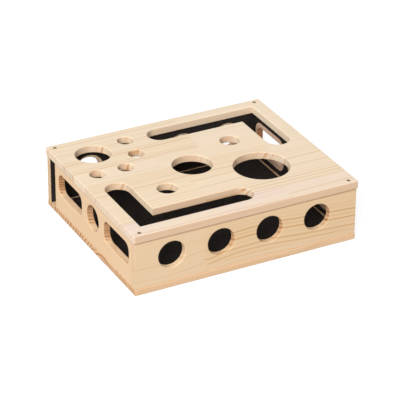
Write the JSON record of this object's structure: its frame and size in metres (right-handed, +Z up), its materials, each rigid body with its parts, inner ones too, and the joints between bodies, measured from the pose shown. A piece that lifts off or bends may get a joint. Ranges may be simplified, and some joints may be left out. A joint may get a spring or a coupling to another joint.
{
  "type": "cat scratcher puzzle box",
  "caption": "Low rectangular pine box with round, windowed and L-shaped play openings and a black scratch lining, whose long wall boards slide out.",
  "frame": {"origin": "centre of the underside of the box", "axes": "+X along the long side to the right, +Y to the back, +Z up"},
  "size_m": [0.3, 0.25, 0.08],
  "materials": {
    "pine_top": "bare sanded pine, grain along X",
    "pine_base": "bare sanded pine, darker, grain along X",
    "pine_wall": "bare sanded pine, grain along the wall",
    "scratch_sheet": "black abrasive grit on stiff board",
    "screw": "dull yellowish steel",
    "dowel": "plain beech"
  },
  "bodies": {
    "box": {"top_panel": "pine_top", "base_panel": "pine_base", "front_wall": "pine_wall", "back_wall": "pine_wall", "left_wall": "pine_wall", "right_wall": "pine_wall", "floor_sheet": "scratch_sheet", "left_sheet": "scratch_sheet", "right_sheet": "scratch_sheet", "lid_screw_1": "screw", "lid_screw_2": "screw", "lid_screw_3": "screw", "lid_screw_4": "screw", "base_screw_1": "screw", "base_screw_2": "screw", "base_screw_3": "screw", "base_screw_4": "screw", "base_screw_5": "screw", "base_screw_6": "screw", "base_screw_7": "screw", "base_screw_8": "screw", "dowel_1": "dowel", "dowel_2": "dowel", "dowel_3": "dowel", "dowel_4": "dowel"},
    "front_scratch_board": {"front_board": "scratch_sheet"},
    "back_scratch_board": {"back_board": "scratch_sheet"}
  },
  "joints": [
    {"name": "front_board_slide", "type": "slide", "parent": "box", "child": "front_scratch_board", "axis": [1, 0, 0], "range_m": [0, 0.28]},
    {"name": "back_board_slide", "type": "slide", "parent": "box", "child": "back_scratch_board", "axis": [-1, 0, 0], "range_m": [0, 0.28]}
  ]
}
